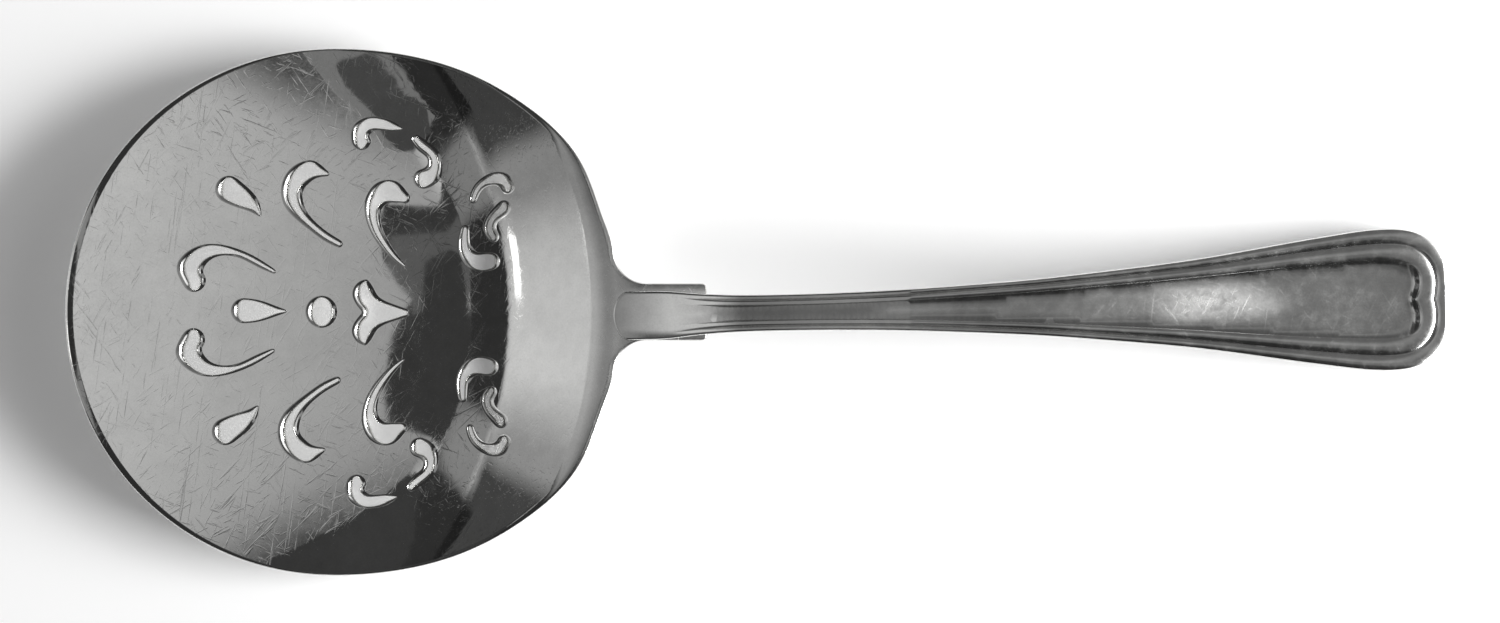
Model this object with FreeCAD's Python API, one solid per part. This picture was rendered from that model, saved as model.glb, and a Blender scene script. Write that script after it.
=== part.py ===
import FreeCAD, Part

import math
import os

# Tomato server: a round pierced blade with a raised back lip and a tang, and a threaded handle
# soldered on top of the tang. Millimetres. It lies as it comes to rest, tipped back on the
# underside of its bend and on the tip of its handle, with the front of the blade off the table.
# The shapes are drawn with the blade's floor level, +X from the blade to the handle's tip, and
# are tipped into the resting pose at the end.

# Blade: a dished sheet cut to a round outline with shoulders and a neck
sheet_thickness = 1.4
blade_radius = 38.35
shoulder_points = [(15.6, 35.8), (26.5, 29.9), (35.0, 20.8), (38.1, 12.9)]
neck_x = 39.4
neck_fillet_radius = 4.6
tang_width = 8.2
tang_end_x = 52.4
tang_corner_radius = 0.7

# Lip: the floor turns up along an arc, runs straight up a slope and turns back to the tang
fold_arc_radius = 45.2
fold_start_x = 17.4
lip_angle = 42.0
lower_bend_radius = 16.0
lip_slope_length = 9.8
upper_bend_radius = 9.0
tang_slope = 8.0

# Handle, seen from the side: x, height of its underside and thickness there
handle_side_stations = [(65.4, 17.8, 3.2), (79.6, 19.6, 3.1), (93.7, 20.45, 3.0), (109.0, 20.35, 2.8),
                        (124.3, 19.85, 2.6), (139.5, 19.5, 2.45)]
handle_tip_x = 161.1
tip_round_radius = 1.3
tip_centre_inset = 1.15
tip_centre_height = 21.2
tongue_end_thickness = 0.6
tongue_thickness = 1.15
stem_thickness = 1.75
tongue_step_x = 46.0
tongue_bed = 0.5

# Handle, seen from above: half widths along its length, from the tongue to the widest place
tongue_start_x = 39.1
tongue_round_length = 2.2
tongue_width = 6.9
handle_half_widths = [(46.5, 3.4), (50.0, 3.05), (54.0, 2.75), (60.0, 2.6), (70.8, 2.68), (79.6, 2.95),
                      (90.5, 3.53), (99.2, 4.1), (107.9, 4.9), (123.2, 6.55), (138.4, 8.85), (145.0, 9.8)]
spread_centre_x = 151.0
spread_width = 20.7
end_bluntness = 2.6
handle_yaw = 1.2
handle_offset = -0.3

# Thread border: it widens with the handle. A groove parts two raised threads, and the panel
# inside them is sunk and ends in a small point towards the stem.
border_least_width = 1.4
border_growth = 0.032
groove_outer_share = 0.40
groove_inner_share = 0.56
groove_depth = 0.3
groove_start_x = 56.0
panel_depth = 0.4
panel_start_x = 58.0
panel_point_length = 0.8

# Piercings. The whole pattern is turned a little on the blade. A scroll is a line of stations:
# x, y and the half width of the opening there. The ones that run up the lip are cut in short
# flats, and a tail with a half width under the limit comes to a point.
pattern_turn = -0.8
axis_drop = [(-7.2, 0.0, 0.2), (-9.0, 0.0, 0.9), (-11.2, 0.0, 1.6), (-13.3, 0.0, 1.85)]
bead_centre_x = -2.2
bead_radius = 2.35
fleur_side = [(8.3, 1.2), (5.9, 2.5), (4.9, 4.2)]
fleur_tip = (10.3, 0.5)
fleur_lobe = [(3.1, 4.5), (2.1, 2.8), (2.7, 1.1)]
fleur_lobe_top = (4.2, 4.9)
fleur_notch_x = 3.6
floor_scrolls = {
    "drop": [(-11.1, 13.8, 0.25), (-12.1, 15.2, 1.1), (-13.6, 16.3, 1.65), (-15.6, 17.5, 2)],
    "comma": [(0.2, 9.9, 0.6), (-1.5, 10.8, 0.7), (-3.4, 12.2, 0.75), (-5.2, 13.9, 1),
              (-6.4, 15.8, 1.45), (-6.6, 17.9, 1.65), (-5.4, 19.8, 1.7), (-3.4, 20.6, 1.3),
              (-1.6, 20, 0.35)],
    "hook": [(-9, 5.7, 0.35), (-11.4, 7, 0.6), (-13.9, 8.2, 0.6), (-16.7, 8.7, 0.85),
             (-19.5, 7.8, 1.5), (-20.9, 5.7, 2), (-20.3, 4.3, 1.75)],
    "crescent": [(9.7, 6.8, 0.2), (8.5, 7.8, 0.45), (7.1, 9.4, 0.65), (5.7, 11.6, 0.85),
                 (5, 13.7, 1.05), (5.1, 15.8, 1.4), (6.4, 17.5, 1.7), (8.4, 17.5, 1.5),
                 (9.5, 16.8, 0.9)],
    "top_curl": [(9, 26.8, 0.2), (7.5, 27.2, 0.8), (5.9, 27.5, 0.95), (4.1, 27.3, 1.2),
                 (3, 26.1, 1.5), (3.1, 25.1, 1.55)],
}
lip_scrolls = {
    "top_scroll": [(10.9, 25.4, 0.7), (12.1, 24.3, 0.95), (13.5, 23, 1), (13.8, 21.5, 1.15),
                   (13.1, 20.1, 1.5), (12.1, 19.6, 1.5)],
    "arch": [(19.4, 16.7, 0.65), (19.8, 17.9, 0.7), (20.8, 19.1, 0.75), (22.4, 19.7, 0.95),
             (23.9, 19.2, 1.15), (24.3, 18.5, 1.1)],
    "inner_curl": [(23.8, 15.5, 1.15), (22.7, 14.5, 1), (21.9, 13.3, 0.95), (21.9, 12.1, 1),
                   (22.4, 11.3, 0.9)],
    "low_curl": [(18.3, 12.3, 0.75), (18.2, 10.9, 0.95), (18.4, 9.3, 1.15), (19.6, 7.8, 1.35),
                 (21.2, 7.6, 1.4), (22.2, 7.7, 1.3)],
}

pointed_tail_limit = 0.4
lip_scroll_end_count = 5

# Reach of the cutting and trimming blocks past the solids
reach = 60.0

UP = FreeCAD.Vector(0, 0, 1)
fold_axis_x = fold_start_x - fold_arc_radius


def point(x, y, z=0.0):
    return FreeCAD.Vector(x, y, z)


def segment(start, end):
    return Part.LineSegment(start, end).toShape()


def arc(start, middle, end):
    return Part.Arc(start, middle, end).toShape()


def curve(points, first_tangent=None, last_tangent=None):
    """A smooth curve through the points, with its end directions where they are given."""
    spline = Part.BSplineCurve()
    if first_tangent is None or last_tangent is None:
        spline.interpolate(Points=points)
    else:
        spline.interpolate(Points=points, InitialTangent=first_tangent, FinalTangent=last_tangent)
    return spline.toShape()


def across_axis(points):
    """The same points on the other side of the part's long axis, in the opposite order."""
    return [point(p.x, -p.y, p.z) for p in reversed(points)]


def mirrored(edges):
    """The same edges on the other side of the part's long axis, in the opposite order."""
    return [edge.mirror(point(0, 0, 0), point(0, 1, 0)) for edge in reversed(edges)]


def upright_block(edges, bottom, height):
    """The closed outline's face, stood up from bottom as a block."""
    face = Part.Face(Part.Wire(edges))
    face.translate(point(0, 0, bottom))
    return face.extrude(UP * height)


def lip_path(side_offset):
    """Points of the lip's profile at one face of the sheet: 0 is the top, the thickness is below."""
    rise = math.radians(lip_angle)
    level = math.radians(tang_slope)
    top = sheet_thickness
    low_radius = lower_bend_radius + side_offset
    high_radius = upper_bend_radius - side_offset
    low_centre = point(fold_arc_radius, 0, top + lower_bend_radius)
    low_end = low_centre + point(math.sin(rise), 0, -math.cos(rise)) * low_radius
    low_middle = low_centre + point(math.sin(rise / 2), 0, -math.cos(rise / 2)) * low_radius
    high_start = low_end + point(math.cos(rise), 0, math.sin(rise)) * lip_slope_length
    high_centre = high_start + point(math.sin(rise), 0, -math.cos(rise)) * high_radius
    halfway = (rise + level) / 2
    high_middle = high_centre + point(-math.sin(halfway), 0, math.cos(halfway)) * high_radius
    high_end = high_centre + point(-math.sin(level), 0, math.cos(level)) * high_radius
    run = (tang_end_x - fold_axis_x + tang_width - high_end.x) / math.cos(level)
    far_end = high_end + point(math.cos(level), 0, math.sin(level)) * run
    floor_end = point(fold_arc_radius, 0, top - side_offset)
    return floor_end, low_middle, low_end, high_start, high_middle, high_end, far_end


def tang_top_height(x):
    """Height of the tang's upper face on its middle line."""
    high_end = lip_path(0.0)[5]
    return high_end.z + (x - fold_axis_x - high_end.x) * math.tan(math.radians(tang_slope))


def dished_sheet():
    """The whole sheet before it is cut to outline, turned about the fold's axis."""
    top = lip_path(0.0)
    under = lip_path(sheet_thickness)
    middle_top = point(0, 0, sheet_thickness)
    middle_under = point(0, 0, 0)
    edges = [
        segment(middle_top, top[0]), arc(top[0], top[1], top[2]), segment(top[2], top[3]),
        arc(top[3], top[4], top[5]), segment(top[5], top[6]), segment(top[6], under[6]),
        segment(under[6], under[5]), arc(under[5], under[4], under[3]), segment(under[3], under[2]),
        arc(under[2], under[1], under[0]), segment(under[0], middle_under),
        segment(middle_under, middle_top),
    ]
    turned = Part.Face(Part.Wire(edges)).revolve(point(0, 0, 0), UP, 360)
    turned.translate(point(fold_axis_x, 0, 0))
    return turned


def blade_outline():
    """Round front, shoulders, neck fillets and the tang's square end."""
    half = tang_width / 2
    bend = neck_fillet_radius * math.sqrt(0.5)
    neck_y = half + neck_fillet_radius
    fillet_end_x = neck_x + neck_fillet_radius
    r = tang_corner_radius
    d = r - r * math.sqrt(0.5)
    shoulder = [point(0, blade_radius)] + [point(*p) for p in shoulder_points] + [point(neck_x, neck_y)]
    fillet_middle = point(fillet_end_x - bend, neck_y - bend)
    corner_middle = point(tang_end_x - d, half - d)
    side = [
        curve(shoulder, point(1, 0), point(0.1, -1)),
        arc(point(neck_x, neck_y), fillet_middle, point(fillet_end_x, half)),
        segment(point(fillet_end_x, half), point(tang_end_x - r, half)),
        arc(point(tang_end_x - r, half), corner_middle, point(tang_end_x, half - r)),
    ]
    front = arc(point(0, -blade_radius), point(-blade_radius, 0), point(0, blade_radius))
    end = segment(point(tang_end_x, half - r), point(tang_end_x, r - half))
    return [front] + side + [end] + mirrored(side)


def arc_chain(points):
    """Arcs through each three points in turn, after a straight start where one point is left over."""
    first = (len(points) - 1) % 2
    edges = [segment(points[0], points[1])] if first else []
    for i in range(first, len(points) - 2, 2):
        edges.append(arc(points[i], points[i + 1], points[i + 2]))
    return edges


def flat_chain(points):
    """Short straight cuts from point to point."""
    return [segment(start, end) for start, end in zip(points, points[1:])]


def station_sides(stations):
    """Points on both sides of a scroll, square to its run. A thin tail comes to one point."""
    centres = [point(x, y) for x, y, _ in stations]
    sides = ([], [])
    for i, station in enumerate(stations):
        ahead = centres[min(i + 1, len(centres) - 1)]
        behind = centres[max(i - 1, 0)]
        along = (ahead - behind).normalize()
        half = 0.0 if i == 0 and station[2] < pointed_tail_limit else station[2]
        across = point(-along.y, along.x) * half
        sides[0].append(centres[i] + across)
        sides[1].append(centres[i] - across)
    return sides


def end_points(start, end, count):
    """Points of a half circle from start to end, bulging to the left of that direction."""
    centre = (start + end) / 2
    half = start - centre
    forward = point(half.y, -half.x)
    turns = [math.pi * i / (count - 1) for i in range(count)]
    return [centre + half * math.cos(turn) + forward * math.sin(turn) for turn in turns]


def scroll(stations, chain=arc_chain, end_count=3):
    """Outline of a scroll-shaped opening: two curved sides and a round head, and its tail."""
    left, right = station_sides(stations)
    edges = chain(left) + chain(end_points(left[-1], right[-1], end_count)) + list(reversed(chain(right)))
    if left[0] != right[0]:
        edges += chain(end_points(right[0], left[0], end_count))
    return edges


def fleur():
    """The three-lobed opening on the blade's axis."""
    lobe_top = point(*fleur_lobe_top)
    outer = [point(*fleur_tip)] + [point(*p) for p in fleur_side] + [lobe_top]
    inner = [lobe_top] + [point(*p) for p in fleur_lobe] + [point(fleur_notch_x, 0)]
    side = arc_chain(outer) + arc_chain(inner)
    tip = arc(point(fleur_tip[0], -fleur_tip[1]), point(fleur_tip[0] + fleur_tip[1] / 2, 0), point(*fleur_tip))
    return [tip] + side + mirrored(side)


def piercing_blocks():
    """Upright blocks that cut every opening of the blade."""
    halves = [scroll(stations) for stations in floor_scrolls.values()]
    halves += [scroll(stations, flat_chain, lip_scroll_end_count) for stations in lip_scrolls.values()]
    outlines = [scroll(axis_drop), fleur()] + halves + [mirrored(edges) for edges in halves]
    blocks = [upright_block(edges, -reach / 2, reach) for edges in outlines]
    blocks.append(Part.makeCylinder(bead_radius, reach, point(bead_centre_x, 0, -reach / 2)))
    for block in blocks:
        block.rotate(point(0, 0, 0), UP, pattern_turn)
    return blocks


def make_blade():
    plan = upright_block(blade_outline(), -reach / 2, reach)
    return dished_sheet().common(plan).cut(piercing_blocks())


def side_points(height_above_under):
    """Points along the handle's length, at a height given as a function of its thickness."""
    return [point(x, 0, under + height_above_under(thick)) for x, under, thick in handle_side_stations]


def handle_top_curve(sink=0.0):
    """The handle's upper line from ahead of the tongue to the rounded tip, sunk by a depth."""
    tip_top = point(handle_tip_x - tip_centre_inset, 0, tip_centre_height + tip_round_radius)
    start_x = tongue_start_x - tongue_round_length
    start = point(start_x, 0, tang_top_height(start_x) + tongue_end_thickness)
    step = point(tongue_step_x, 0, tang_top_height(tongue_step_x) + tongue_thickness)
    stem = point(tang_end_x, 0, tang_top_height(tang_end_x) + stem_thickness)
    points = [start, step, stem] + side_points(lambda thick: thick) + [tip_top]
    points = [p - point(0, 0, sink) for p in points]
    return points, curve(points, point(1, 0, math.tan(math.radians(tang_slope))), point(1, 0, 0.05))


def slab(edges):
    """A closed side view, as a slab across the handle's whole width."""
    face = Part.Face(Part.Wire(edges))
    face.translate(point(0, -reach / 2, 0))
    return face.extrude(point(0, reach, 0))


def handle_side_slab():
    top_points, top = handle_top_curve()
    start = top_points[0]
    centre = point(handle_tip_x - tip_centre_inset, 0, tip_centre_height)
    tip_under = centre - point(0, 0, tip_round_radius)
    tip_front = centre + point(tip_round_radius, 0, 0)
    bed_start = point(start.x, 0, tang_top_height(start.x) - tongue_bed)
    bed_end = point(tang_end_x, 0, tang_top_height(tang_end_x) - tongue_bed)
    under_points = [tip_under] + list(reversed(side_points(lambda thick: 0.0))) + [bed_end]
    under = curve(under_points, point(-1, 0, -0.05), point(-1, 0, -0.2))
    return slab([
        top, arc(top_points[-1], tip_front, tip_under), under,
        segment(bed_end, bed_start), segment(bed_start, start),
    ])


def over_handle_slab(depth):
    """Everything above the handle's upper face once that is sunk by depth."""
    points, line = handle_top_curve(depth)
    first = points[0]
    last = points[-1]
    lift = point(0, 0, reach / 2)
    return slab([
        line, segment(last, last + lift), segment(last + lift, first + lift), segment(first + lift, first),
    ])


def blunt_end(length, half):
    """Points of a blunt rounded end, from beside its widest place towards its tip."""
    power = 2 / end_bluntness
    points = []
    for turn in (70, 50, 30, 12):
        ahead = math.cos(math.radians(turn)) ** power
        aside = math.sin(math.radians(turn)) ** power
        points.append(point(spread_centre_x + length * ahead, half * aside))
    return points


def handle_outline():
    """The handle seen from above: tongue, stem and spread end."""
    half = tongue_width / 2
    front_x = tongue_start_x + tongue_round_length
    side = [point(front_x, half)] + [point(*p) for p in handle_half_widths]
    side.append(point(spread_centre_x, spread_width / 2))
    side += blunt_end(handle_tip_x - spread_centre_x, spread_width / 2)
    flank = point(front_x - tongue_round_length * math.sqrt(0.5), half * math.sqrt(0.5))
    tongue = across_axis([flank, point(front_x, half)]) + [point(tongue_start_x, 0)]
    return [
        curve(side + [point(handle_tip_x, 0)] + across_axis(side)),
        curve(tongue + across_axis(tongue[:-1])),
    ]


def border_width(half):
    """Width of the whole thread border where the handle has this half width."""
    return border_least_width + border_growth * half ** 2


def inner_outline(share, start_x, point_length=0.0):
    """A line this share of the border inside the handle's edge, closed across the stem."""
    side = [point(x, half - share * border_width(half)) for x, half in handle_half_widths if x > start_x]
    inset = share * border_width(spread_width / 2)
    half = spread_width / 2 - inset
    length = handle_tip_x - spread_centre_x - inset
    upper = [point(start_x, side[0].y)] + side + [point(spread_centre_x, half)] + blunt_end(length, half)
    upper.append(point(spread_centre_x + length - point_length, 0))
    start = segment(point(start_x, -side[0].y), point(start_x, side[0].y))
    if point_length == 0:
        return [start, curve(upper + across_axis(upper[:-1]))]
    return [start, curve(upper)] + mirrored([curve(upper)])


def cut_border(body):
    """Cut the groove between the threads and the sunk panel, each from the skin above its floor."""
    outer = upright_block(inner_outline(groove_outer_share, groove_start_x), 0, reach)
    inner = upright_block(inner_outline(groove_inner_share, groove_start_x - 1), 0, reach)
    panel = upright_block(inner_outline(1.0, panel_start_x, panel_point_length), 0, reach)
    groove_skin = body.common(over_handle_slab(groove_depth)).common(outer).cut(inner)
    panel_skin = body.common(over_handle_slab(panel_depth)).common(panel)
    return body.cut(groove_skin).cut(panel_skin)


def make_handle(blade):
    body = handle_side_slab().common(upright_block(handle_outline(), 0, reach))
    body = cut_border(body)
    body.rotate(point(tang_end_x, 0, 0), UP, handle_yaw)
    body.translate(point(0, handle_offset, 0))
    return body.cut(blade)


def rest_tilt():
    """Tilt, in degrees, at which the bend's underside and the tip touch one level plane."""
    bend_radius = lower_bend_radius + sheet_thickness
    across = handle_tip_x - tip_centre_inset - fold_start_x
    up = tip_centre_height - bend_radius
    reach_between = math.hypot(across, up)
    return math.degrees(math.atan2(up, across) + math.asin((bend_radius - tip_round_radius) / reach_between))


def main():
    os.makedirs("parts", exist_ok=True)
    blade = make_blade()
    handle = make_handle(blade)
    nodes = {"blade": blade, "handle": handle}
    for shape in nodes.values():
        shape.rotate(point(0, 0, 0), point(0, 1, 0), rest_tilt())
    box = Part.makeCompound(list(nodes.values())).optimalBoundingBox(False, False)
    to_origin = point(-box.Center.x, -box.Center.y, -box.ZMin)
    for name, shape in nodes.items():
        shape.translate(to_origin)
        solids = shape.Solids
        print(name, "solids", len(solids), "valid", shape.isValid(), "volume", round(shape.Volume, 1))
        solids[0].exportStep(os.path.join("parts", name + ".step"))
    print("tilt", round(rest_tilt(), 2), "size", round(box.XLength, 2), round(box.YLength, 2), round(box.ZLength, 2))
    print("origin shift", [round(v, 4) for v in to_origin])


main()
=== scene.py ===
import math
from functools import reduce

import bpy
import numpy as np
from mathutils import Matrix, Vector
from mathutils.geometry import delaunay_2d_cdt


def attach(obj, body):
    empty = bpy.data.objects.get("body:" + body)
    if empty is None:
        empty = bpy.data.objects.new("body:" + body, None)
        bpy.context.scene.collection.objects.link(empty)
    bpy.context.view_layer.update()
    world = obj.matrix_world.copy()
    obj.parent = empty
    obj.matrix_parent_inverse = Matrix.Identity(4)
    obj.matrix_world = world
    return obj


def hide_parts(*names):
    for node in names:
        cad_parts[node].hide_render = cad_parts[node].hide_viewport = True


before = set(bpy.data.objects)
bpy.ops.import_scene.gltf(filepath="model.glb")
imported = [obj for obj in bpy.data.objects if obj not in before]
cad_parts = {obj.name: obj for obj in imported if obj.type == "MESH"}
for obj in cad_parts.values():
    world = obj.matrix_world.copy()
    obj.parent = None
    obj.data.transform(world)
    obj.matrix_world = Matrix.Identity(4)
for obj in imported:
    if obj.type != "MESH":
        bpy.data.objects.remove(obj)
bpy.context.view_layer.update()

# The shapes are worked out in millimetres with the blade's floor level, x towards the handle's tip,
# and are then tipped into the resting pose and moved to the frame's origin.
TILT = math.radians(8.00966)
SHIFT = np.array([-62.29028, 0.0, 2.60818])

# Blade sheet: the outline's round front, its shoulder, the neck's fillet and the tang
THICK = 1.4
RADIUS = 38.35
SHOULDER = [(15.6, 35.8), (26.5, 29.9), (35.0, 20.8), (38.1, 12.9)]
NECK_X, NECK_R = 39.4, 4.6
TANG_HALF, TANG_END, TANG_CORNER = 4.1, 52.4, 0.7

# The fold runs along an arc. In its section the sheet bends up, runs straight up the lip, bends
# back at the crest and goes on over the shoulder.
FOLD_RHO, FOLD_X = 45.2, 17.4
FOLD_AXIS = FOLD_X - FOLD_RHO
RISE, LEVEL = math.radians(42.0), math.radians(8.0)
LOW_R, SLOPE, HIGH_R, BACK_RUN = 16.0, 9.8, 9.0, 40.0

# Rounded edges: the steps from the upper face down to the side, the outer rim's reach inwards, with
# what is added where it faces the front or back, and the same for the openings' flared edges
EDGE_TURNS = np.radians([0, 15, 30, 45, 60, 75, 90])
RIM_REACH, RIM_REACH_ENDS, RIM_DROP, RIM_ROOM = 0.45, 0.85, 0.55, 0.45
NECK_START, NECK_RIM_REACH = 41.0, 0.3
FLARE, FLARE_LEFT, FLARE_RIGHT, FLARE_ROOM = 0.28, 1.0, 0.85, 0.72
FLARE_DROP, FLARE_DROP_LIMIT = 1.05, 0.95
END_POWER = 1.5
UNDER_ROUND, OPENING_ROUND = 0.35, 0.12

# Openings: stations of x, y and half width
PATTERN_TURN = math.radians(-0.8)
AXIS_DROP = [(-7.2, 0.0, 0.2), (-9.0, 0.0, 0.9), (-11.2, 0.0, 1.6), (-13.3, 0.0, 1.85)]
BEAD_X, BEAD_R = -2.2, 2.35
FLEUR_SIDE = [(10.3, 0.5), (8.3, 1.2), (5.9, 2.5), (4.9, 4.2), (4.2, 4.9)]
FLEUR_LOBE = [(4.2, 4.9), (3.1, 4.5), (2.1, 2.8), (2.7, 1.1), (3.6, 0.0)]
SCROLLS = {
    "drop": [(-11.1, 13.8, 0.25), (-12.1, 15.2, 1.1), (-13.6, 16.3, 1.65), (-15.6, 17.5, 2)],
    "comma": [(0.2, 9.9, 0.6), (-1.5, 10.8, 0.7), (-3.4, 12.2, 0.75), (-5.2, 13.9, 1), (-6.4, 15.8, 1.45),
              (-6.6, 17.9, 1.65), (-5.4, 19.8, 1.7), (-3.4, 20.6, 1.3), (-1.6, 20, 0.35)],
    "hook": [(-9, 5.7, 0.35), (-11.4, 7, 0.6), (-13.9, 8.2, 0.6), (-16.7, 8.7, 0.85), (-19.5, 7.8, 1.5),
             (-20.9, 5.7, 2), (-20.3, 4.3, 1.75)],
    "crescent": [(9.7, 6.8, 0.2), (8.5, 7.8, 0.45), (7.1, 9.4, 0.65), (5.7, 11.6, 0.85), (5, 13.7, 1.05),
                 (5.1, 15.8, 1.4), (6.4, 17.5, 1.7), (8.4, 17.5, 1.5), (9.5, 16.8, 0.9)],
    "top_curl": [(9, 26.8, 0.2), (7.5, 27.2, 0.8), (5.9, 27.5, 0.95), (4.1, 27.3, 1.2), (3, 26.1, 1.5),
                 (3.1, 25.1, 1.55)],
    "top_scroll": [(10.9, 25.4, 0.7), (12.1, 24.3, 0.95), (13.5, 23, 1), (13.8, 21.5, 1.15), (13.1, 20.1, 1.5),
                   (12.1, 19.6, 1.5)],
    "arch": [(19.4, 16.7, 0.65), (19.8, 17.9, 0.7), (20.8, 19.1, 0.75), (22.4, 19.7, 0.95), (23.9, 19.2, 1.15),
             (24.3, 18.5, 1.1)],
    "inner_curl": [(23.8, 15.5, 1.15), (22.7, 14.5, 1), (21.9, 13.3, 0.95), (21.9, 12.1, 1), (22.4, 11.3, 0.9)],
    "low_curl": [(18.3, 12.3, 0.75), (18.2, 10.9, 0.95), (18.4, 9.3, 1.15), (19.6, 7.8, 1.35), (21.2, 7.6, 1.4),
                 (22.2, 7.7, 1.3)],
}

# Handle: stations of x, underside and thickness, the rolled tip, the tongue, stations of x and half
# width, and the spread end
SIDE = [(65.4, 17.8, 3.2), (79.6, 19.6, 3.1), (93.7, 20.45, 3.0), (109.0, 20.35, 2.8), (124.3, 19.85, 2.6),
        (139.5, 19.5, 2.45)]
TIP_X, TIP_R, TIP_INSET, TIP_Z = 161.1, 1.3, 1.15, 21.2
TONGUE_X, TONGUE_ROUND, TONGUE_HALF, TONGUE_BACK = 39.1, 2.2, 3.45, 44.0
TONGUE_RISE = [(36.9, 0.6), (46.0, 1.15), (TANG_END, 1.75)]
HALVES = [(46.5, 3.4), (50.0, 3.05), (54.0, 2.75), (60.0, 2.6), (70.8, 2.68), (79.6, 2.95),
          (90.5, 3.53), (99.2, 4.1), (107.9, 4.9), (123.2, 6.55), (138.4, 8.85), (145.0, 9.8)]
SPREAD_X, SPREAD_HALF, BLUNT = 151.0, 10.35, 2.6
YAW, OFFSET = math.radians(1.2), -0.3

# The border's width and depth grow with the handle's half width. Its relief comes up behind the
# tongue and is shallower at the tip, where the inner lines come to a small point.
BORDER, BORDER_GROWTH, BORDER_LIMIT = 1.4, 0.032, 0.62
DEEP, DEEP_GROWTH = 0.24, 0.05
RELIEF_X, RELIEF_RUN = 47.0, 9.0
SHALLOW_X, SHALLOW_RUN, SHALLOW = 150.0, 5.0, 0.5
POINT_X, POINT_RUN, POINT_HALF = 154.0, 2.0, 4.0
OUTER_THREAD, THREAD_POWER, EDGE_DEPTH = 0.46, 0.6, 0.9


def unit(v):
    return v / np.maximum(np.linalg.norm(v, axis=-1, keepdims=True), 1e-12)


def spline(points, count, start=None, end=None):
    """A cubic spline through the points, by chord length, with its end directions where given."""
    p = np.array(points, float)
    h = np.maximum(np.linalg.norm(np.diff(p, axis=0), axis=1), 1e-6)
    t = np.concatenate([[0], np.cumsum(h)])
    n = len(p)
    a = np.zeros((n, n))
    b = np.zeros_like(p)
    for i in range(1, n - 1):
        a[i, i - 1], a[i, i], a[i, i + 1] = h[i - 1], 2 * (h[i - 1] + h[i]), h[i]
        b[i] = 6 * ((p[i + 1] - p[i]) / h[i] - (p[i] - p[i - 1]) / h[i - 1])
    a[0, 0] = a[-1, -1] = 1
    if start is not None:
        a[0, 0], a[0, 1] = 2 * h[0], h[0]
        b[0] = 6 * ((p[1] - p[0]) / h[0] - unit(np.array(start, float)))
    if end is not None:
        a[-1, -1], a[-1, -2] = 2 * h[-1], h[-1]
        b[-1] = 6 * (unit(np.array(end, float)) - (p[-1] - p[-2]) / h[-1])
    m = np.linalg.solve(a, b)
    s = np.linspace(0, t[-1], count)
    i = np.clip(np.searchsorted(t, s, side="right") - 1, 0, n - 2)
    u = (s - t[i])[:, None]
    v = (t[i + 1] - s)[:, None]
    hi = h[i][:, None]
    bend = (m[i] * v ** 3 + m[i + 1] * u ** 3) / (6 * hi)
    return bend + (p[i] / hi - m[i] * hi / 6) * v + (p[i + 1] / hi - m[i + 1] * hi / 6) * u


def turn(p, angle):
    c, s = math.cos(angle), math.sin(angle)
    return np.stack([p[:, 0] * c - p[:, 1] * s, p[:, 0] * s + p[:, 1] * c], axis=1)


def arc_points(cx, cy, r, a0, a1, n):
    a = np.radians(np.linspace(a0, a1, n))
    return np.stack([cx + r * np.cos(a), cy + r * np.sin(a)], axis=1)


def resample(loop, step):
    """The same closed line with evenly spaced points."""
    q = np.vstack([loop, loop[:1]])
    d = np.concatenate([[0], np.cumsum(np.linalg.norm(np.diff(q, axis=0), axis=1))])
    n = max(8, int(round(d[-1] / step)))
    s = np.linspace(0, d[-1], n, endpoint=False)
    return np.stack([np.interp(s, d, q[:, k]) for k in range(q.shape[1])], axis=1)


def relax(p, rounds):
    for _ in range(rounds):
        p = 0.5 * p + 0.25 * (np.roll(p, 1, axis=0) + np.roll(p, -1, axis=0))
    return p


def even_out(values, rounds):
    """Running mean of three round a closed line."""
    for _ in range(rounds):
        values = (values + np.roll(values, 1, axis=0) + np.roll(values, -1, axis=0)) / 3
    return values


def counterclockwise(p):
    q = np.roll(p, -1, axis=0)
    return p if np.sum(p[:, 0] * q[:, 1] - q[:, 0] * p[:, 1]) > 0 else p[::-1]


def inward(p):
    """Unit normals that point into a counterclockwise loop."""
    t = unit(np.roll(p, -1, axis=0) - np.roll(p, 1, axis=0))
    return np.stack([-t[:, 1], t[:, 0]], axis=1)


def room(p, n):
    """Radius of the largest circle that touches each point from inside the loop."""
    d = p[None, :, :] - p[:, None, :]
    along = np.einsum("ijk,ik->ij", d, n)
    r = np.sum(d * d, axis=2) / np.where(along > 1e-6, 2 * along, 1e-9)
    r[along <= 1e-6] = 1e9
    return r.min(axis=1)


def profile(depth):
    """Distance from the fold's axis and height along the sheet, at a depth under its upper face."""
    low, high = LOW_R + depth, HIGH_R - depth
    a = np.linspace(0, RISE, 40)
    rho = [FOLD_RHO + low * np.sin(a)]
    z = [THICK + LOW_R - low * np.cos(a)]
    x0, z0 = rho[0][-1] + SLOPE * math.cos(RISE), z[0][-1] + SLOPE * math.sin(RISE)
    b = np.linspace(RISE, LEVEL, 30)
    cx, cz = x0 + high * math.sin(RISE), z0 - high * math.cos(RISE)
    rho.append(cx - high * np.sin(b))
    z.append(cz + high * np.cos(b))
    rho, z = np.concatenate(rho), np.concatenate(z)
    rho = np.concatenate([[0], rho, [rho[-1] + BACK_RUN]])
    z = np.concatenate([[THICK - depth], z, [z[-1] + BACK_RUN * math.tan(LEVEL)]])
    return rho, z


TOP_LINE = profile(0.0)
UNDER_LINE = profile(THICK)


def height(p, line):
    return np.interp(np.hypot(p[:, 0] - FOLD_AXIS, p[:, 1]), *line)


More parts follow.
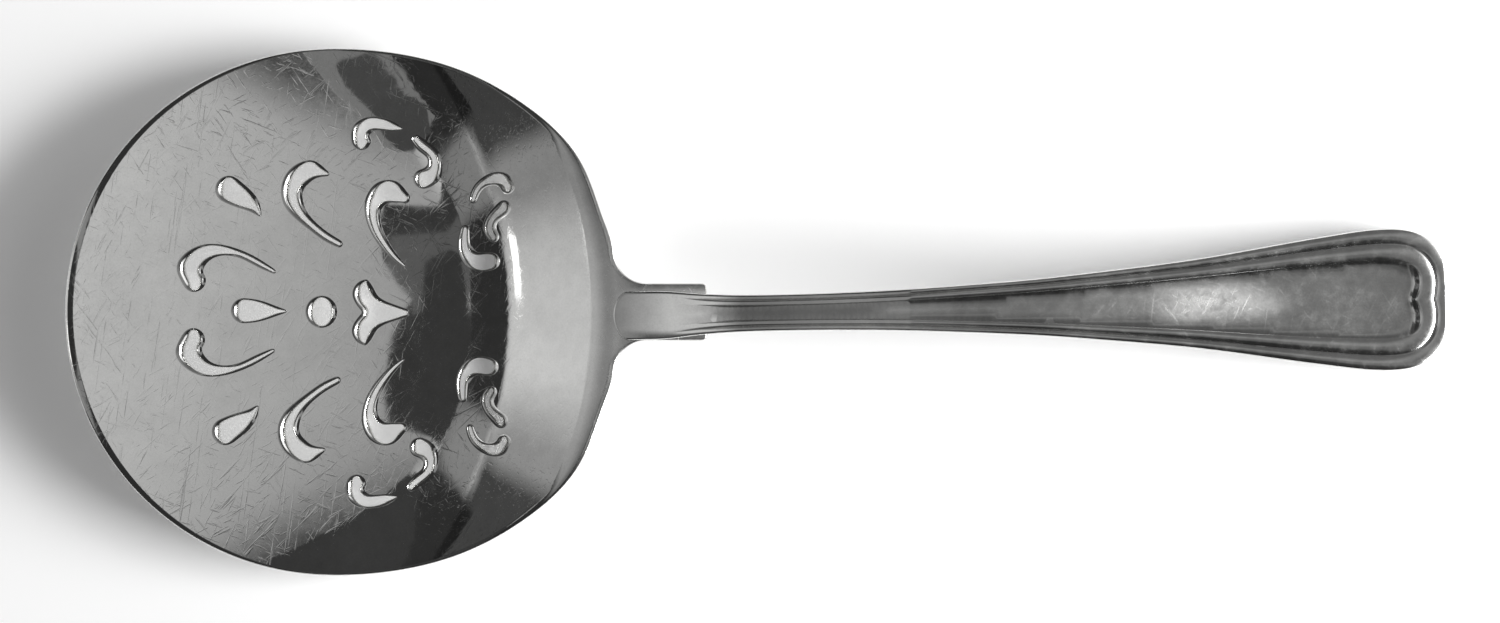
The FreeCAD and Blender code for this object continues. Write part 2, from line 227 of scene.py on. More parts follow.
def slope_normal(p, line):
    """Upward unit normals of the sheet at plan points."""
    rho = np.hypot(p[:, 0] - FOLD_AXIS, p[:, 1])
    e = 0.05
    g = (np.interp(rho + e, *line) - np.interp(rho - e, *line)) / (2 * e)
    c = (p[:, 0] - FOLD_AXIS) / rho
    s = p[:, 1] / rho
    return unit(np.stack([-g * c, -g * s, np.ones_like(g)], axis=1))


def on_sheet(p, line, way=1):
    """Points and normals of the sheet's upper face, or with way -1 of its underside."""
    return np.column_stack([p, height(p, line)]), way * slope_normal(p, line)


def tip(v):
    """Points or directions tipped from the level floor into the resting pose."""
    c, s = math.cos(TILT), math.sin(TILT)
    return np.stack([v[:, 0] * c + v[:, 2] * s, v[:, 1], -v[:, 0] * s + v[:, 2] * c], axis=1)


def flat3(n):
    return np.stack([n[:, 0], n[:, 1], np.zeros(len(n))], axis=1)


def inside(points, loop):
    """Which points lie inside the closed loop."""
    x, y = points[:, 0], points[:, 1]
    hit = np.zeros(len(points), bool)
    for (x0, y0), (x1, y1) in zip(loop, np.roll(loop, -1, axis=0)):
        if y1 != y0:
            hit ^= ((y0 > y) != (y1 > y)) & (x < (x1 - x0) * (y - y0) / (y1 - y0) + x0)
    return hit


def near(points, loop, gap):
    """Which points lie closer than a gap to the loop's points."""
    keep = np.zeros(len(points), bool)
    for i in range(0, len(points), 2000):
        d = points[i:i + 2000, None, :] - loop[None, :, :]
        keep[i:i + 2000] = np.sum(d * d, axis=2).min(axis=1) < gap * gap
    return keep


def fill(loop, holes, step):
    """Triangles of the area between a loop and its holes, with evenly spread inner points.

    Gives the points, the triangles, and for each point its place among those of the rings and then
    of the inner points."""
    lo, hi = loop.min(axis=0), loop.max(axis=0)
    rows = np.arange(lo[1], hi[1], step * 0.866)
    columns = np.arange(lo[0], hi[0], step)
    grid = np.array([(x + (step / 2 if j % 2 else 0), y) for j, y in enumerate(rows) for x in columns])
    grid = grid[inside(grid, loop) & ~near(grid, loop, step * 0.6)]
    for hole in holes:
        grid = grid[~inside(grid, hole) & ~near(grid, hole, step * 0.6)]
    rings = [loop] + holes
    edges, start = [], 0
    for ring in rings:
        n = len(ring)
        edges += [(start + i, start + (i + 1) % n) for i in range(n)]
        start += n
    result = delaunay_2d_cdt([Vector(p) for p in np.vstack(rings + [grid])], edges, [], 0, 1e-7)
    out = np.array([tuple(v) for v in result[0]])
    faces = np.array([f for f in result[2] if len(f) == 3])
    middle = out[faces].mean(axis=1)
    keep = inside(middle, loop)
    for hole in holes:
        keep &= ~inside(middle, hole)
    source = np.array([ids[0] if ids else -1 for ids in result[3]])
    return out, faces[keep], source


class Builder:
    """Collects the rings and faces of one closed mesh, with normals where they are worked out."""

    def __init__(self):
        self.points, self.normals, self.faces, self.count = [], [], [], 0

    def add(self, points, normals=None):
        first = self.count
        self.points.append(points)
        if normals is not None:
            self.normals.append(normals)
        self.count += len(points)
        return first + np.arange(len(points))

    def band(self, a, b):
        """Quads between two rings of the same length."""
        for i in range(len(a)):
            j = (i + 1) % len(a)
            self.faces.append((a[i], a[j], b[j], b[i]))

    def grow(self, ring, points, normals=None, opening=False):
        """The next ring down an outer wall, or down the wall of an opening."""
        new = self.add(points, normals)
        self.band(*((ring, new) if opening else (new, ring)))
        return new

    def cap(self, loop, holes, step, known, place, under=False):
        """Fills the area inside rings that are there already. place gives its inner points."""
        out, faces, source = fill(loop, holes, step)
        ids = np.zeros(len(out), int)
        fresh = source >= len(known)
        ids[~fresh] = known[source[~fresh]]
        ids[fresh] = self.add(*place(out[fresh]))
        self.faces += [tuple(ids[f][::-1]) if under else tuple(ids[f]) for f in faces]

    def make(self, name):
        mesh = bpy.data.meshes.new(name)
        points = (tip(np.vstack(self.points)) + SHIFT) / 1000
        mesh.from_pydata(points.tolist(), [], [tuple(int(i) for i in f) for f in self.faces])
        mesh.validate()
        mesh.polygons.foreach_set("use_smooth", [True] * len(mesh.polygons))
        if self.normals:
            mesh.normals_split_custom_set_from_vertices(tip(unit(np.vstack(self.normals))).tolist())
        obj = bpy.data.objects.new(name, mesh)
        bpy.context.scene.collection.objects.link(obj)
        return obj


def blade_loop():
    neck_y = TANG_HALF + NECK_R
    shoulder = spline([(0, RADIUS)] + SHOULDER + [(NECK_X, neck_y)], 160, (1, 0), (0.1, -1))
    neck = arc_points(NECK_X + NECK_R, neck_y, NECK_R, 180, 270, 24)
    corner = arc_points(TANG_END - TANG_CORNER, TANG_HALF - TANG_CORNER, TANG_CORNER, 90, 0, 8)
    side = np.vstack([shoulder, neck[1:], corner])
    front = arc_points(0, 0, RADIUS, 90, 270, 200)
    lower = side * [1, -1]
    loop = np.vstack([front, lower[1:], side[::-1][:-1]])
    return counterclockwise(resample(loop, 0.45))


def scroll_loop(stations):
    """Closed outline round a line of stations, with round ends."""
    st = np.array(stations, float)
    c, w = st[:, :2], st[:, 2]
    t = unit(np.vstack([c[1:], c[-1:]]) - np.vstack([c[:1], c[:-1]]))
    n = np.stack([-t[:, 1], t[:, 0]], axis=1) * w[:, None]
    left, right = spline(c + n, 120), spline(c - n, 120)

    def round_end(centre, direction, r):
        a0 = math.atan2(direction[1], direction[0])
        a = np.linspace(a0 + math.pi / 2, a0 - math.pi / 2, 14)[1:-1]
        return centre + r * np.stack([np.cos(a), np.sin(a)], axis=1)

    loop = np.vstack([left, round_end(c[-1], t[-1], w[-1]), right[::-1], round_end(c[0], -t[0], w[0])])
    return relax(resample(loop, 0.2), 4)


def opening_loops():
    loops = [scroll_loop(AXIS_DROP), arc_points(BEAD_X, 0, BEAD_R, 0, 354, 60)]
    side = np.vstack([spline(FLEUR_SIDE, 60), spline(FLEUR_LOBE, 60)[1:]])
    loops.append(relax(resample(np.vstack([side, side[::-1][1:] * [1, -1]]), 0.2), 3))
    for stations in SCROLLS.values():
        loop = scroll_loop(stations)
        loops += [loop, loop * [1, -1]]
    return [counterclockwise(turn(p, PATTERN_TURN)) for p in loops]


def build_blade():
    loop, holes = blade_loop(), opening_loops()
    body = Builder()

    # The rim is rolled over from the floor, further at the front and back than at the sides
    n_in = inward(loop)
    reach = RIM_REACH + RIM_REACH_ENDS * np.abs(n_in[:, 0]) ** END_POWER
    reach = np.minimum(reach, RIM_ROOM * room(loop, n_in))
    reach = np.where(loop[:, 0] > NECK_START, np.minimum(reach, NECK_RIM_REACH), reach)
    reach = even_out(reach, 20)
    top_loop = loop + n_in * reach[:, None]
    under_loop = loop + n_in * UNDER_ROUND

    ring = body.add(*on_sheet(top_loop, TOP_LINE))
    hole_rings = [body.add(*on_sheet(hole, TOP_LINE)) for hole in holes]
    body.cap(top_loop, holes, 0.85, np.concatenate([ring] + hole_rings), lambda p: on_sheet(p, TOP_LINE))

    up = slope_normal(top_loop, TOP_LINE)
    for a in EDGE_TURNS[1:]:
        p = top_loop - n_in * (reach * math.sin(a))[:, None]
        z = height(p, TOP_LINE) - RIM_DROP * (1 - math.cos(a))
        outward = flat3(n_in) * (math.sin(a) / np.maximum(reach, 0.2))[:, None]
        ring = body.grow(ring, np.column_stack([p, z]), unit(up * math.cos(a) / RIM_DROP - outward))
    up = slope_normal(under_loop, UNDER_LINE)
    for a in EDGE_TURNS[::-1]:
        p = under_loop - n_in * UNDER_ROUND * math.sin(a)
        z = height(p, UNDER_LINE) + UNDER_ROUND * (1 - math.cos(a))
        ring = body.grow(ring, np.column_stack([p, z]), unit(-up * math.cos(a) - flat3(n_in) * math.sin(a)))

    # Each opening's edge is flared from above, and its wall goes down to a small round
    under_holes, under_rings = [], [ring]
    for hole, ring in zip(holes, hole_rings):
        n = inward(hole)
        flare = FLARE + np.where(n[:, 0] > 0, FLARE_LEFT, FLARE_RIGHT) * np.abs(n[:, 0]) ** END_POWER
        flare = even_out(np.minimum(flare, FLARE_ROOM * room(hole, n)), 6)
        drop = np.minimum(flare * FLARE_DROP, FLARE_DROP_LIMIT)
        up = slope_normal(hole, TOP_LINE)
        for a in EDGE_TURNS[1:]:
            p = hole + n * (flare * math.sin(a))[:, None]
            z = height(p, TOP_LINE) - drop * (1 - math.cos(a))
            normals = unit(up * math.cos(a) + flat3(n) * math.sin(a))
            ring = body.grow(ring, np.column_stack([p, z]), normals, opening=True)
        wall = hole + n * flare[:, None]
        for a in EDGE_TURNS[::-2]:
            p = wall - n * OPENING_ROUND * (1 - math.sin(a))
            z = height(p, UNDER_LINE) + OPENING_ROUND * (1 - math.cos(a))
            normals = unit(-slope_normal(p, UNDER_LINE) * math.cos(a) + flat3(n) * math.sin(a))
            ring = body.grow(ring, np.column_stack([p, z]), normals, opening=True)
        under_holes.append(wall - n * OPENING_ROUND)
        under_rings.append(ring)

    body.cap(under_loop, under_holes, 1.3, np.concatenate(under_rings),
             lambda p: on_sheet(p, UNDER_LINE, -1), under=True)
    return body.make("blade_plate")


def handle_outline():
    """Half of the outline seen from above, from the tongue's front round to the tip, and the whole."""
    a = np.radians(np.linspace(0, 90, 40))
    nose = np.stack([TONGUE_X + TONGUE_ROUND * (1 - np.cos(a)), TONGUE_HALF * np.sin(a)], axis=1)
    b = np.radians(np.linspace(90, 0, 120))
    ahead, aside = np.cos(b) ** (2 / BLUNT), np.sin(b) ** (2 / BLUNT)
    end = np.stack([SPREAD_X + (TIP_X - SPREAD_X) * ahead, SPREAD_HALF * aside], axis=1)
    side = spline([tuple(nose[-1])] + HALVES + [(SPREAD_X, SPREAD_HALF)], 500, (1, 0), (1, 0))
    half = np.vstack([nose, side[1:], end[1:]])
    whole = np.vstack([half, half[::-1][1:-1] * [1, -1]])
    loop = resample(whole, 0.3)
    if len(loop) % 2:
        loop = resample(whole, 0.3001)
    return half, counterclockwise(loop)


def tang_top(x):
    return float(np.interp(x - FOLD_AXIS, *TOP_LINE))


TOPS = [(x, tang_top(x) + lift) for x, lift in TONGUE_RISE]
TOPS += [(x, under + thick) for x, under, thick in SIDE] + [(TIP_X - TIP_INSET, TIP_Z + TIP_R)]
UNDERS = [(TANG_END, tang_top(TANG_END) - 0.5)]
UNDERS += [(x, under) for x, under, thick in SIDE] + [(TIP_X - TIP_INSET, TIP_Z - TIP_R)]
TOP_CURVE = spline(TOPS, 1500, (1, math.tan(LEVEL)), (1, 0.05))
UNDER_CURVE = spline(UNDERS, 1500, (1, 0.2), (1, 0.05))


def rolled_tip(x, z, way):
    """The height z, or beyond the tip's inset that of its round, above or below its middle."""
    over = np.clip((x - (TIP_X - TIP_INSET)) / TIP_R, 0, 0.999)
    return np.where(x > TIP_X - TIP_INSET, TIP_Z + way * TIP_R * np.sqrt(1 - over ** 2), z)


def top_z(x):
    return rolled_tip(x, np.interp(x, TOP_CURVE[:, 0], TOP_CURVE[:, 1]), 1)


def under_z(x):
    """The underside, which lies a little inside the tang where the two are joined."""
    z = np.interp(x, UNDER_CURVE[:, 0], UNDER_CURVE[:, 1])
    on_tang = np.interp(x - FOLD_AXIS, *TOP_LINE) - 0.2
    return rolled_tip(x, np.where(x < TANG_END + 0.15, on_tang, z), -1)


def border_width(half_width):
    return np.minimum(BORDER + BORDER_GROWTH * half_width ** 2, BORDER_LIMIT * half_width)


def shown(x):
    """How far the border's relief has come up, from 0 to 1."""
    s = np.clip((x - RELIEF_X) / RELIEF_RUN, 0, 1)
    return s * s * (3 - 2 * s)


def pointed(p, share):
    """The border's inner lines come to a small point at the tip."""
    aside = np.clip(np.abs(p[:, 1]) / POINT_HALF, 0, 1)
    near_tip = np.clip((p[:, 0] - POINT_X) / POINT_RUN, 0, 1)
    return p - np.column_stack([near_tip * share * (1 - aside) ** 2, np.zeros(len(p))])


def relief(share, x, deep):
    """Height of the border's two threads and its sunk inside, at a share of its width."""
    outer = share < OUTER_THREAD
    u = share / OUTER_THREAD if outer else (share - OUTER_THREAD) / (1 - OUTER_THREAD)
    bead = np.sin(np.pi * np.clip(u, 0, 1)) ** THREAD_POWER
    edge = 1 - bead if share < OUTER_THREAD / 2 else 0
    return -deep * np.maximum((1 - bead) * shown(x), edge * EDGE_DEPTH)


def build_handle():
    half, loop = handle_outline()
    n = inward(loop)
    for _ in range(3):
        n = unit(n + np.roll(n, 1, axis=0) + np.roll(n, -1, axis=0))
    half_width = np.interp(loop[:, 0], half[:, 0], half[:, 1])
    half_width = np.where(loop[:, 0] > SPREAD_X, SPREAD_HALF, half_width)
    half_width = np.where(loop[:, 0] < TONGUE_BACK, TONGUE_HALF, half_width)
    border = border_width(half_width)
    shallow = 1 - SHALLOW * np.clip((loop[:, 0] - SHALLOW_X) / SHALLOW_RUN, 0, 1)
    deep = (DEEP + DEEP_GROWTH * border) * shallow
    body = Builder()

    rings = []
    for share in np.linspace(0, 1, 29):
        p = pointed(loop + n * (border * share)[:, None], share)
        rings.append(body.add(np.column_stack([p, top_z(p[:, 0]) + relief(share, p[:, 0], deep)])))
    for outer, inner in zip(rings, rings[1:]):
        body.band(outer, inner)

    def on_panel(q):
        width = border_width(np.interp(q[:, 0], half[:, 0], half[:, 1]))
        return np.column_stack([q, top_z(q[:, 0]) - (DEEP + DEEP_GROWTH * width) * shown(q[:, 0])]), None

    def on_underside(q):
        return np.column_stack([q, under_z(q[:, 0])]), None

    # The sunk panel inside the last ring, then the side wall and the underside
    body.cap(p, [], 0.8, rings[-1], on_panel)
    ring = rings[0]
    wall_top = top_z(loop[:, 0]) + relief(0.0, loop[:, 0], deep)
    wall_low = under_z(loop[:, 0])
    for share in (0.3, 0.6, 0.85):
        ring = body.grow(ring, np.column_stack([loop, wall_top + (wall_low - wall_top) * share]))
    for inset, lift in ((0.12, 0.12), (0.35, 0.0)):
        p = loop + n * inset
        ring = body.grow(ring, np.column_stack([p, under_z(p[:, 0]) + lift]))
    body.cap(p, [], 1.2, ring, on_underside, under=True)

    # Set the handle askew on the tang
    points = np.vstack(body.points)
    plan = turn(points[:, :2] - [TANG_END, 0], YAW) + [TANG_END, OFFSET]
    body.points = [np.column_stack([plan, points[:, 2]])]
    return body.make("handle_silver")


# Materials
class Graph:
    """Adds nodes to one node tree. Values are numbers or sockets to link."""

    def __init__(self, tree):
        self.tree = tree

    def link(self, a, b):
        self.tree.links.new(a, b)

    def node(self, kind, **values):
        n = self.tree.nodes.new(kind)
        for key, value in values.items():
            if key not in n.inputs:
                setattr(n, key, value)
            elif isinstance(value, bpy.types.NodeSocket):
                self.link(value, n.inputs[key])
            else:
                n.inputs[key].default_value = value
        return n

    def ramp(self, source, low, high, out_low=0.0, out_high=1.0):
        n = self.node("ShaderNodeMapRange", Value=source)
        for key, value in zip(("From Min", "From Max", "To Min", "To Max"), (low, high, out_low, out_high)):
            n.inputs[key].default_value = value
        return n.outputs["Result"]

    def math(self, operation, *values):
        n = self.node("ShaderNodeMath", operation=operation)
        for socket, value in zip(n.inputs, values):
            if isinstance(value, (int, float)):
                socket.default_value = value
            else:
                self.link(value, socket)
        return n.outputs[0]

    def add(self, *values):
        return reduce(lambda a, b: self.math("ADD", a, b), values)

    def times(self, *values):
        return reduce(lambda a, b: self.math("MULTIPLY", a, b), values)

    def most(self, *values):
        return reduce(lambda a, b: self.math("MAXIMUM", a, b), values)

    def coordinate(self, name):
        return self.node("ShaderNodeTexCoord").outputs[name]

    def split(self, vector):
        return self.node("ShaderNodeSeparateXYZ", Vector=vector).outputs

    def length(self, vector):
        return self.node("ShaderNodeVectorMath", operation="LENGTH", Vector=vector).outputs["Value"]

    def moved(self, vector, location):
        return self.node("ShaderNodeMapping", Location=location, Vector=vector).outputs[0]

    def colour(self, red, green, blue):
        n = self.node("ShaderNodeCombineColor")
        for socket, value in zip(n.inputs, (red, green, blue)):
            self.link(value, socket)
        return n.outputs[0]


def nodes_of(name):
    mat = bpy.data.materials.new(name)
    mat.use_nodes = True
    return mat, Graph(mat.node_tree), mat.node_tree.nodes["Principled BSDF"]


# Scratches: direction in degrees and noise scale of each set, how much longer than wide they are,
# and how far each set's pattern is moved on
SCRATCH_SETS = ((-28, 2300), (35, 2600), (-62, 2100), (-8, 2900), (68, 2400), (-45, 1500))
SCRATCH_STRETCH, SCRATCH_SHIFT = 60.0, 0.37
SCRATCH_BUMP, SCRATCH_DEPTH = 4.5, 0.00001


def scratches(g, coord, angle, scale, shift):
    """Fine straight scratches along one direction, as a height from 0 to 1."""
    m = g.node("ShaderNodeMapping", vector_type="TEXTURE", Rotation=(0, 0, math.radians(angle)),
               Location=(shift, shift * 0.7, 0), Scale=(1.0, SCRATCH_STRETCH, 1.0), Vector=coord)
    n = g.node("ShaderNodeTexNoise", Scale=scale, Detail=3.0, Roughness=0.55, Vector=m.outputs[0])
    return g.ramp(n.outputs["Fac"], 0.63, 0.72)


def silver(name, base, rough, haze, scratch, satin_start=None, worn_sheen=None, tarnish=0.0):
    """Worn silver: a mirror under fine scratches, cloudier where it has been rubbed.

    haze and scratch are added to the roughness. satin_start is the x from which the sheet is satin.
    The rubbed spot is its x, y, half length, half width and roughness, and a painted sheen lightens its colour.
    tarnish darkens grooves."""
    mat, g, bsdf = nodes_of(name)
    bsdf.inputs["Metallic"].default_value = 1.0
    coord = g.coordinate("Object")
    x, y, _ = g.split(coord)

    def noise(**values):
        return g.node("ShaderNodeTexNoise", Vector=coord, **values).outputs["Fac"]

    def about(field, amount):
        """A noise field about its middle value."""
        return g.times(g.math("SUBTRACT", field, 0.5), amount)

    speck = noise(Scale=3800.0, Detail=2.0)
    cloud = noise(Scale=70.0, Detail=4.0, Roughness=0.6)
    mottle = noise(Scale=520.0, Detail=3.0, Roughness=0.6)
    marks = g.most(*[scratches(g, coord, angle, scale, i * SCRATCH_SHIFT)
                     for i, (angle, scale) in enumerate(SCRATCH_SETS)])
    hazy = g.ramp(g.add(g.times(mottle, 0.5), g.times(cloud, 0.5)), 0.38, 0.62)
    roughness = g.add(rough, g.times(hazy, haze), g.times(marks, scratch), about(speck, 0.05))
    level = g.add(base, g.add(about(cloud, 0.30), about(mottle, 0.14), about(speck, 0.12)))
    if satin_start is not None:
        roughness = g.add(roughness, g.ramp(x, satin_start, satin_start + 0.006, 0.0, 0.18))
    # The rubbed spot: rougher from wear, and lighter in colour as a painted sheen
    if worn_sheen is not None:
        spot_x, spot_y, length, width, gain = worn_sheen
        u = g.math("DIVIDE", g.math("SUBTRACT", x, spot_x), length)
        v = g.math("DIVIDE", g.math("SUBTRACT", y, spot_y), width)
        far = g.add(g.times(u, u), g.times(v, v), about(mottle, 2.2))
        rubbed_sheen = g.ramp(far, 0.15, 1.1, 1.0, 0.0)
        roughness = g.add(roughness, g.times(rubbed_sheen, gain))
        level = g.add(level, g.times(rubbed_sheen, 0.13))
    if tarnish:
        pointiness = g.node("ShaderNodeNewGeometry").outputs["Pointiness"]
        level = g.times(level, g.ramp(pointiness, 0.44, 0.50, 1.0 - tarnish, 1.0))
    g.link(roughness, bsdf.inputs["Roughness"])
    g.link(g.colour(level, level, g.times(level, 0.985)), bsdf.inputs["Base Color"])
    bump = g.node("ShaderNodeBump", Strength=SCRATCH_BUMP * scratch, Distance=SCRATCH_DEPTH, Height=marks)
    g.link(bump.outputs[0], bsdf.inputs["Normal"])
    return mat


blade = build_blade()
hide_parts("blade")
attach(blade, "root")
blade.data.materials.append(silver("worn_silver_blade", base=0.74, rough=0.03, haze=0.06, scratch=0.06,
                                   satin_start=-0.028))

handle = build_handle()
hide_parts("handle")
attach(handle, "root")
# The handle's rubbed spot on its panel is rougher and carries a painted sheen that lightens its colour
handle.data.materials.append(silver("worn_silver_handle", base=0.70, rough=0.10, haze=0.10, scratch=0.04,
                                    worn_sheen=(0.0638, 0.0014, 0.0135, 0.0036, 0.11), tarnish=0.45))


# Studio: pale floor, a soft key light from the right, and cards that only reflections see
def staged(name, corners, faces, material):
    mesh = bpy.data.meshes.new(name)
    mesh.from_pydata([tuple(c) for c in corners], [], faces)
    obj = bpy.data.objects.new(name, mesh)
    bpy.context.scene.collection.objects.link(obj)
    obj.data.materials.append(material)
    return obj


def matt(name, shade):
    mat, g, bsdf = nodes_of(name)
    bsdf.inputs["Base Color"].default_value = (shade, shade, shade, 1)
    bsdf.inputs["Roughness"].default_value = 0.9
    return mat, g, bsdf


def floor_paper():
    """White paper with a little light of its own, and more of it below the blade's openings."""
    mat, g, bsdf = matt("floor_paper", 0.93)
    bsdf.inputs["Emission Color"].default_value = (1, 1, 1, 1)
    from_blade = g.moved(g.coordinate("Object"), (0.0620, 0, 0))
    under = g.times(g.ramp(g.length(from_blade), 0.029, 0.032, 1.0, 0.0),
                    g.ramp(g.split(from_blade)[0], 0.018, 0.021, 1.0, 0.0))
    g.link(g.add(g.times(under, 0.18), 0.13), bsdf.inputs["Emission Strength"])
    return mat


FLOOR_HALF = 8
staged("floor", [(x * FLOOR_HALF, y * FLOOR_HALF, 0) for x, y in ((-1, -1), (1, -1), (1, 1), (-1, 1))],
       [(0, 1, 2, 3)], floor_paper())

# The photograph's frame: the camera's place in mm, and a photo pixel's size at a distance of 1
CAMERA = np.array([-2.115, 0.07, 330.0])
PHOTO_WIDTH, MIDDLE_X, MIDDLE_Y = 1500, 750, 312
SUBJECT_DISTANCE, SUBJECT_PIXEL = 325.5, 0.145
PIXEL = SUBJECT_PIXEL / SUBJECT_DISTANCE


def reflection_card(name, corners):
    """A glowing card that only mirrors see, and the socket for its level."""
    mat, g, _ = nodes_of(name + "_cloth")
    glow = g.node("ShaderNodeEmission", Color=(1, 1, 1, 1))
    g.link(glow.outputs[0], mat.node_tree.nodes["Material Output"].inputs["Surface"])
    obj = staged(name, corners, [tuple(range(len(corners)))], mat)
    obj.visible_camera = False
    obj.visible_shadow = False
    obj.visible_diffuse = False
    return g, glow.inputs["Strength"]


def floor_card(name, outline, level, card_height):
    """A card over the table where the level floor of the blade mirrors it at these photo pixels."""
    normal = np.array([math.sin(TILT), 0, math.cos(TILT)])
    foot = np.array([SHIFT[0], 0, SHIFT[2]]) + THICK * normal
    pixels = []
    for (ax, ay), (bx, by) in zip(outline, outline[1:] + outline[:1]):
        count = max(1, int(math.hypot(bx - ax, by - ay) / 8))
        pixels += [(ax + (bx - ax) * i / count, ay + (by - ay) * i / count) for i in range(count)]
    corners = []
    for px, py in pixels:
        ray = unit(np.array([(px - MIDDLE_X) * PIXEL, -(py - MIDDLE_Y) * PIXEL, -1.0]))
        p = CAMERA + ray * (np.dot(foot - CAMERA, normal) / np.dot(ray, normal))
        back = ray - 2 * np.dot(ray, normal) * normal
        corners.append((p + back * ((card_height - p[2]) / back[2])) / 1000)
    reflection_card(name, corners)[1].default_value = level


floor_card("dark_lens", [(385, 205), (430, 207), (456, 205), (458, 216), (505, 222), (505, 400), (500, 420),
                         (470, 425), (440, 440), (388, 425), (384, 395), (388, 360), (392, 335), (400, 318),
                         (412, 300), (398, 285), (383, 260), (378, 225)], 0.045, 50)
floor_card("dim_lens", [(385, 262), (390, 236), (450, 232), (450, 250), (425, 262), (422, 312), (412, 316),
                        (412, 300), (398, 285)], 0.12, 46)
floor_card("dark_upper", [(328, 30), (333, 62), (345, 86), (376, 117), (383, 136), (400, 152), (440, 150),
                          (440, 30)], 0.07, 14)
floor_card("dim_upper", [(300, 30), (303, 54), (335, 94), (369, 126), (385, 149), (425, 156), (440, 142),
                         (440, 30)], 0.21, 15)
floor_card("dark_lower", [(262, 600), (268, 560), (300, 546), (330, 530), (364, 508), (386, 494), (404, 478),
                          (424, 462), (446, 452), (460, 600), (460, 620), (262, 620)], 0.05, 14)

# The neck card, close over the shoulder and the tang: its height, and in mm from the fold's axis,
# by the angle from the middle line, its outer and inner edge and its arm over the stem
NECK_CARD_Z = 15.5
NECK_CARD_HALF_TURN = 39
NECK_CARD_OUTER = ([8, 18, 29, 39], [67.5, 66.0, 62.0, 57.0])
NECK_CARD_INNER = ([14, 20], [56.0, 52.8])
ARM_HALF, ARM_END = 5.5, 111.0
AXIS_X = FOLD_AXIS + SHIFT[0]


def neck_card():
    """Pale over the shoulder, darker towards the rim and the sides, and dim over the stem."""
    angles = np.linspace(-NECK_CARD_HALF_TURN, NECK_CARD_HALF_TURN, 53)
    a = np.radians(angles)
    outer, inner = [np.interp(np.abs(angles), *edge)[:, None] * np.stack([np.cos(a), np.sin(a)], axis=1)
                    for edge in (NECK_CARD_OUTER, NECK_CARD_INNER)]
    outer[np.abs(outer[:, 1]) < ARM_HALF, 0] = ARM_END
    corners = [((AXIS_X + x) / 1000, y / 1000, NECK_CARD_Z / 1000) for x, y in np.vstack([inner, outer[::-1]])]
    g, strength = reflection_card("pale_neck", corners)
    from_axis = g.moved(g.coordinate("Object"), (-AXIS_X / 1000, 0, -NECK_CARD_Z / 1000))
    rho = g.length(from_axis)
    x, y, _ = g.split(from_axis)
    away = g.math("ABSOLUTE", y)
    along = g.add(g.ramp(rho, 0.060, 0.065, 0.50, 0.26), g.ramp(rho, 0.067, 0.076, 0.0, 0.42),
                  g.ramp(rho, 0.082, 0.086, 0.0, -0.44), g.ramp(rho, 0.090, 0.104, 0.0, 0.07))
    on_arm = g.most(g.ramp(away, 0.0027, 0.0034, 1.0, 0.18), g.ramp(rho, 0.068, 0.073, 1.0, 0.0))
    sideways = g.times(g.ramp(y, 0.004, 0.015, 1.0, 0.62), g.ramp(y, -0.027, -0.011, 0.42, 1.0))
    corner = g.ramp(g.math("SUBTRACT", away, g.times(x, 1.45)), -0.0565, -0.0500, 1.0, 0.16)
    g.link(g.times(along, g.times(on_arm, sideways, corner)), strength)


def lip_flag():
    """A screen under the lip that keeps the low light off the paper below the openings."""
    flag_rho, flag_height = 60, 0.0050
    plan = arc_points(AXIS_X, 0, flag_rho, -30, 30, 25) / 1000
    n = len(plan)
    corners = [(x, y, z) for z in (0.0001, flag_height) for x, y in plan]
    faces = [(i, i + 1, n + i + 1, n + i) for i in range(n - 1)]
    obj = staged("lip_flag", corners, faces, matt("flag_cloth", 0.3)[0])
    obj.visible_camera = False
    obj.visible_glossy = False


neck_card()
lip_flag()

KEY_POWER = 19.0
KEY_PLACE = (0.82, -0.10, 0.335)
key = bpy.data.lights.new("key", "AREA")
key.shape = "RECTANGLE"
key.size, key.size_y = 0.62, 0.30
key.energy = KEY_POWER
key_object = bpy.data.objects.new("key", key)
key_object.location = KEY_PLACE
key_object.rotation_euler = (-Vector(KEY_PLACE)).to_track_quat("-Z", "Y").to_euler()
bpy.context.scene.collection.objects.link(key_object)


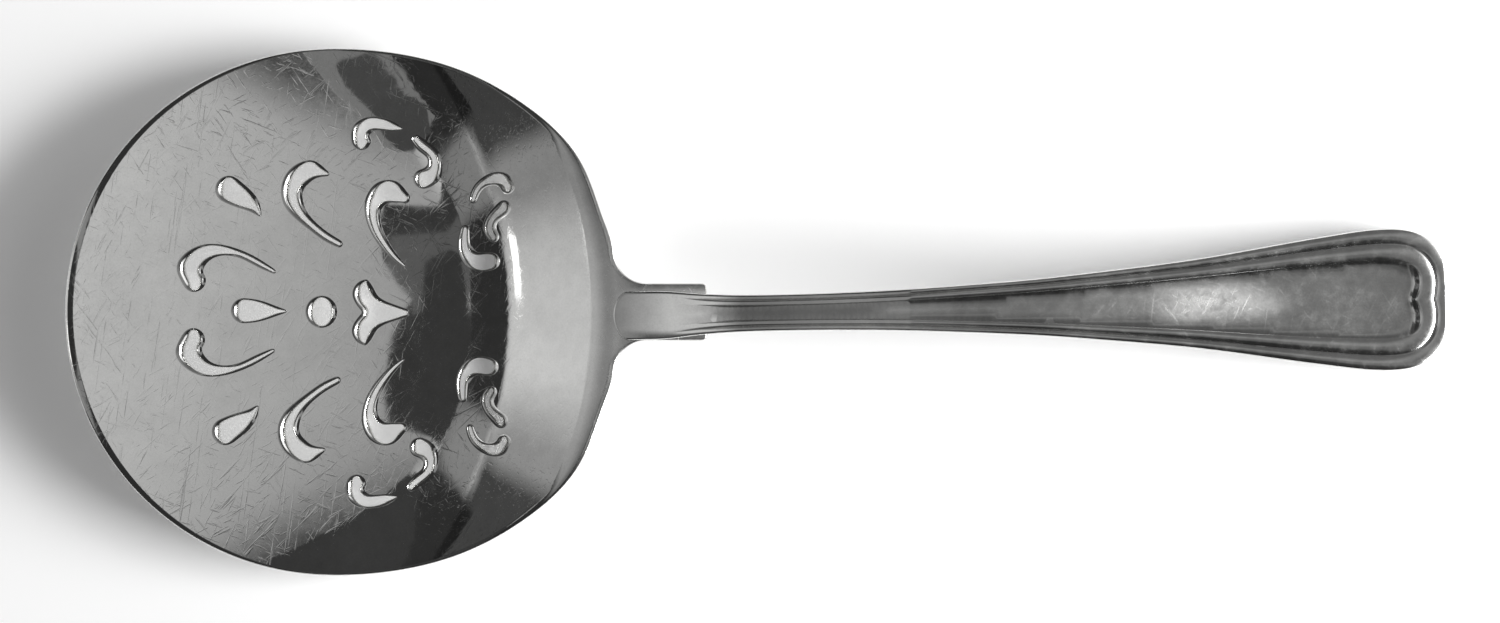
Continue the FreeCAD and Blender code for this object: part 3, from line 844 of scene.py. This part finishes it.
def room_level(g, dx, dy, dz):
    """Brightness of the room by direction."""
    away = g.math("ABSOLUTE", dy)
    # Overhead it is paler towards the left and the front, dimmer over the handle and to the sides,
    # and bright low on the right, where the left edges of the openings mirror it
    over_handle = g.times(g.ramp(dx, 0.15, 0.24), g.ramp(dx, 0.62, 0.70, 1.0, 0.0))
    sides = g.times(g.ramp(away, 0.25, 0.5), g.ramp(dx, -0.03, 0.05))
    bright = g.add(g.ramp(dx, -0.03, 0.12, 0.66, 0.40), g.times(g.ramp(dy, -0.12, 0.12, -0.5, 0.5), 0.12),
                   g.times(over_handle, -0.19), g.ramp(dx, 0.66, 0.78), g.times(sides, -0.12))
    # Low on the left, which the shoulder mirrors, it falls off to both sides
    fall = g.math("MINIMUM", g.ramp(dy, -0.26, -0.14, 0.5, 1.0), g.ramp(dy, 0.14, 0.28, 1.0, 0.5))
    bright = g.times(bright, g.most(fall, g.ramp(dx, -0.74, -0.70)))
    # The fold and the lip mirror the left side, which is dark in the middle and at the flanks
    aside = g.math("DIVIDE", away, g.most(g.times(dx, -1.0), 0.02))
    middle = g.times(g.ramp(aside, 0.28, 0.36, 1.0, 0.0), g.ramp(dx, -0.72, -0.69))
    between = g.times(g.ramp(dx, -0.75, -0.65), 0.62)
    dark = g.times(g.most(middle, between), g.ramp(dx, -0.085, -0.055, 1.0, 0.0))
    high = g.times(g.ramp(aside, 0.46, 0.56), g.ramp(dz, 0.27, 0.34))
    low = g.times(g.ramp(aside, 0.37, 0.43), g.ramp(dx, -0.78, -0.72, 0.84, 0.0))
    dark = g.most(dark, g.times(g.most(high, low), g.ramp(dx, -0.065, -0.04, 1.0, 0.0)))
    # The same flanks, where the fold starts and at the blade's sides
    turning = g.math("DIVIDE", away, g.most(g.math("SUBTRACT", 0.27, dx), 0.05))
    start = g.times(g.ramp(turning, 0.41, 0.54), g.ramp(dx, 0.10, 0.17, 0.9, 0.0))
    dark = g.times(g.most(dark, start), 0.95)
    # A narrow window gives the white streak on the crest
    window = g.times(g.ramp(dx, -0.87, -0.86), g.ramp(dx, -0.80, -0.79, 1.0, 0.0),
                     g.ramp(dy, -0.168, -0.158), g.ramp(dy, -0.04, -0.03, 1.0, 0.0))
    return g.add(g.times(bright, g.math("SUBTRACT", 1.0, dark)), g.times(window, 1.6))


world = bpy.data.worlds.new("studio")
bpy.context.scene.world = world
world.use_nodes = True
graph = Graph(world.node_tree)
level = room_level(graph, *graph.split(graph.coordinate("Generated")))
graph.link(graph.colour(level, level, level), world.node_tree.nodes["Background"].inputs["Color"])

SENSOR = 36
cam = bpy.data.cameras.new("camera")
cam.sensor_width = SENSOR
cam.lens = SENSOR * SUBJECT_DISTANCE / SUBJECT_PIXEL / PHOTO_WIDTH
cam.clip_start = 0.01
camera = bpy.data.objects.new("camera", cam)
camera.location = tuple(CAMERA / 1000)
bpy.context.scene.collection.objects.link(camera)
bpy.context.scene.camera = camera
bpy.context.scene.view_settings.view_transform = "Standard"
